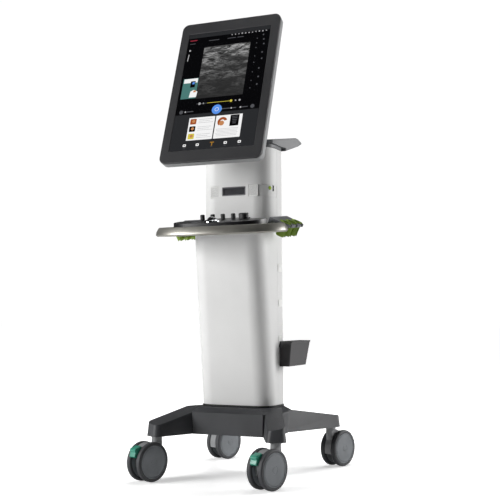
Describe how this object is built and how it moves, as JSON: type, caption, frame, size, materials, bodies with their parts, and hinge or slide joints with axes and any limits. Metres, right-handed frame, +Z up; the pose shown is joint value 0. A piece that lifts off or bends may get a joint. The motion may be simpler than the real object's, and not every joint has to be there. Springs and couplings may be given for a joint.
{
  "type": "ultrasound scanner",
  "caption": "Cart ultrasound scanner: portrait touch monitor on a tilt bracket, key console with trackball and probe holders, white column, four-legged base on swivel casters.",
  "frame": {"origin": "on the floor under the middle of the base", "axes": "+Z up, the screen and console face -Y, +X is to the right of someone facing the screen"},
  "size_m": [0.5462, 0.69, 1.5088],
  "materials": {
    "housing_grey": "satin moulded nylon",
    "wheel_grey": "satin moulded, dark tread",
    "pedal_teal": "moulded",
    "pedal_dark": "moulded",
    "base_paint": "fine textured powder coat",
    "gasket_rubber": "matt",
    "steel_parts": "plain",
    "white_cover": "fine textured paint",
    "white_grille": "moulded",
    "dark_plastic": "fine textured",
    "filter_foam": "open foam",
    "black_plastic": "moulded",
    "button_lime": "translucent",
    "zinc_case": "zinc plated",
    "handle_grey": "satin moulded",
    "monitor_shell": "satin moulded",
    "monitor_bezel": "satin moulded",
    "screen_glass": "polished, over a lit display",
    "rim_paint": "metallic lacquer",
    "deck_black": "satin moulded",
    "ring_chrome": "polished",
    "ball_black": "polished",
    "holder_grey": "satin moulded",
    "lime_silicone": "matt silicone"
  },
  "bodies": {
    "root": {"base_frame": "base_paint", "base_gasket": "gasket_rubber", "column_spine": "steel_parts", "lower_front_cover": "white_cover", "upper_front_cover": "white_cover", "rear_cover": "white_cover", "side_port_panel": "white_cover", "speaker_grille_left": "white_grille", "speaker_grille_right": "white_grille", "front_vent_louvre": "dark_plastic", "dust_filter": "filter_foam", "fan_frame": "dark_plastic", "probe_connector_panel": "dark_plastic", "mains_inlet": "black_plastic", "usb_socket": "black_plastic", "power_supply": "zinc_case", "ultrasound_engine": "zinc_case", "column_top_cap": "handle_grey", "rear_handle": "handle_grey", "tilt_bracket": "dark_plastic", "console_rim": "rim_paint", "console_tray": "dark_plastic", "console_deck": "deck_black", "trackball_ring": "ring_chrome", "probe_holder_left": "holder_grey", "probe_holder_right": "holder_grey", "probe_cup_left_1": "lime_silicone", "probe_cup_left_2": "lime_silicone", "probe_cup_left_3": "lime_silicone", "probe_cup_right_1": "lime_silicone", "probe_cup_right_2": "lime_silicone", "probe_cup_right_3": "lime_silicone", "storage_bin": "dark_plastic"},
    "caster_front_left": {"caster_housing_front_left": "housing_grey"},
    "wheels_front_left": {"twin_wheels_front_left": "wheel_grey"},
    "pedal_front_left": {"brake_pedal_front_left": "pedal_teal"},
    "caster_front_right": {"caster_housing_front_right": "housing_grey"},
    "wheels_front_right": {"twin_wheels_front_right": "wheel_grey"},
    "pedal_front_right": {"brake_pedal_front_right": "pedal_teal"},
    "caster_rear_left": {"caster_housing_rear_left": "housing_grey"},
    "wheels_rear_left": {"twin_wheels_rear_left": "wheel_grey"},
    "pedal_rear_left": {"brake_pedal_rear_left": "pedal_dark"},
    "caster_rear_right": {"caster_housing_rear_right": "housing_grey"},
    "wheels_rear_right": {"twin_wheels_rear_right": "wheel_grey"},
    "pedal_rear_right": {"brake_pedal_rear_right": "pedal_dark"},
    "monitor": {"monitor_rear_housing": "monitor_shell", "tilt_shaft": "steel_parts", "monitor_bezel": "monitor_bezel", "touch_glass": "screen_glass", "lcd_panel": "black_plastic"},
    "fan_rotor": {"fan_rotor": "dark_plastic"},
    "trackball": {"trackball": "ball_black"},
    "knob_1": {"knob_1": "deck_black"},
    "knob_2": {"knob_2": "deck_black"},
    "knob_3": {"knob_3": "deck_black"},
    "knob_4": {"knob_4": "deck_black"},
    "gain_dial": {"gain_dial": "deck_black"},
    "select_key_left": {"select_key_left": "deck_black"},
    "select_key_right": {"select_key_right": "deck_black"},
    "power_button": {"power_button": "button_lime"}
  },
  "joints": [
    {"name": "swivel_front_left", "type": "hinge", "parent": "root", "child": "caster_front_left", "pos_m": [-0.205, -0.2395, 0.13], "axis": [0, 0, 1], "continuous": true},
    {"name": "roll_front_left", "type": "hinge", "parent": "caster_front_left", "child": "wheels_front_left", "pos_m": [-0.21763, -0.27746, 0.0625], "axis": [-0.9489, 0.3156, 0], "continuous": true},
    {"name": "brake_front_left", "type": "hinge", "parent": "caster_front_left", "child": "pedal_front_left", "pos_m": [-0.22943, -0.31294, 0.10552], "axis": [-0.9489, 0.3156, 0], "range_deg": [-12, 0]},
    {"name": "swivel_front_right", "type": "hinge", "parent": "root", "child": "caster_front_right", "pos_m": [0.205, -0.2395, 0.13], "axis": [0, 0, 1], "continuous": true},
    {"name": "roll_front_right", "type": "hinge", "parent": "caster_front_right", "child": "wheels_front_right", "pos_m": [0.19237, -0.27746, 0.0625], "axis": [-0.9489, 0.3156, 0], "continuous": true},
    {"name": "brake_front_right", "type": "hinge", "parent": "caster_front_right", "child": "pedal_front_right", "pos_m": [0.18057, -0.31294, 0.10552], "axis": [-0.9489, 0.3156, 0], "range_deg": [-12, 0]},
    {"name": "swivel_rear_left", "type": "hinge", "parent": "root", "child": "caster_rear_left", "pos_m": [-0.22, 0.2395, 0.13], "axis": [0, 0, 1], "continuous": true},
    {"name": "roll_rear_left", "type": "hinge", "parent": "caster_rear_left", "child": "wheels_rear_left", "pos_m": [-0.20737, 0.27746, 0.0625], "axis": [0.9489, -0.3156, 0], "continuous": true},
    {"name": "brake_rear_left", "type": "hinge", "parent": "caster_rear_left", "child": "pedal_rear_left", "pos_m": [-0.19557, 0.31294, 0.10552], "axis": [0.9489, -0.3156, 0], "range_deg": [-12, 0]},
    {"name": "swivel_rear_right", "type": "hinge", "parent": "root", "child": "caster_rear_right", "pos_m": [0.22, 0.2395, 0.13], "axis": [0, 0, 1], "continuous": true},
    {"name": "roll_rear_right", "type": "hinge", "parent": "caster_rear_right", "child": "wheels_rear_right", "pos_m": [0.23263, 0.27746, 0.0625], "axis": [0.9489, -0.3156, 0], "continuous": true},
    {"name": "brake_rear_right", "type": "hinge", "parent": "caster_rear_right", "child": "pedal_rear_right", "pos_m": [0.24443, 0.31294, 0.10552], "axis": [0.9489, -0.3156, 0], "range_deg": [-12, 0]},
    {"name": "monitor_tilt", "type": "hinge", "parent": "root", "child": "monitor", "pos_m": [0, -0.182, 1.145], "axis": [1, 0, 0], "range_deg": [-15, 19]},
    {"name": "fan_spin", "type": "hinge", "parent": "root", "child": "fan_rotor", "pos_m": [0, -0.073, 0.934], "axis": [0, 1, 0], "continuous": true},
    {"name": "trackball_roll", "type": "hinge", "parent": "root", "child": "trackball", "pos_m": [0, -0.26418, 0.81699], "axis": [1, 0, 0], "continuous": true},
    {"name": "knob_1_turn", "type": "hinge", "parent": "root", "child": "knob_1", "pos_m": [-0.073, -0.18, 0.83158], "axis": [0, -0.1822, 0.9833], "continuous": true},
    {"name": "knob_2_turn", "type": "hinge", "parent": "root", "child": "knob_2", "pos_m": [-0.0365, -0.18, 0.83158], "axis": [0, -0.1822, 0.9833], "continuous": true},
    {"name": "knob_3_turn", "type": "hinge", "parent": "root", "child": "knob_3", "pos_m": [0, -0.18, 0.83158], "axis": [0, -0.1822, 0.9833], "continuous": true},
    {"name": "knob_4_turn", "type": "hinge", "parent": "root", "child": "knob_4", "pos_m": [0.0365, -0.18, 0.83158], "axis": [0, -0.1822, 0.9833], "continuous": true},
    {"name": "gain_dial_turn", "type": "hinge", "parent": "root", "child": "gain_dial", "pos_m": [0.073, -0.18, 0.83158], "axis": [0, -0.1822, 0.9833], "continuous": true},
    {"name": "select_key_left_press", "type": "slide", "parent": "root", "child": "select_key_left", "axis": [0, 0.1822, -0.9833], "range_m": [0, 0.0018], "stiffness_N_per_m": 400, "springref_m": -0.001},
    {"name": "select_key_right_press", "type": "slide", "parent": "root", "child": "select_key_right", "axis": [0, 0.1822, -0.9833], "range_m": [0, 0.0018], "stiffness_N_per_m": 400, "springref_m": -0.001},
    {"name": "power_button_press", "type": "slide", "parent": "root", "child": "power_button", "axis": [-0.8949, 0.4462, 0], "range_m": [0, 0.0015], "stiffness_N_per_m": 400, "springref_m": -0.001}
  ]
}
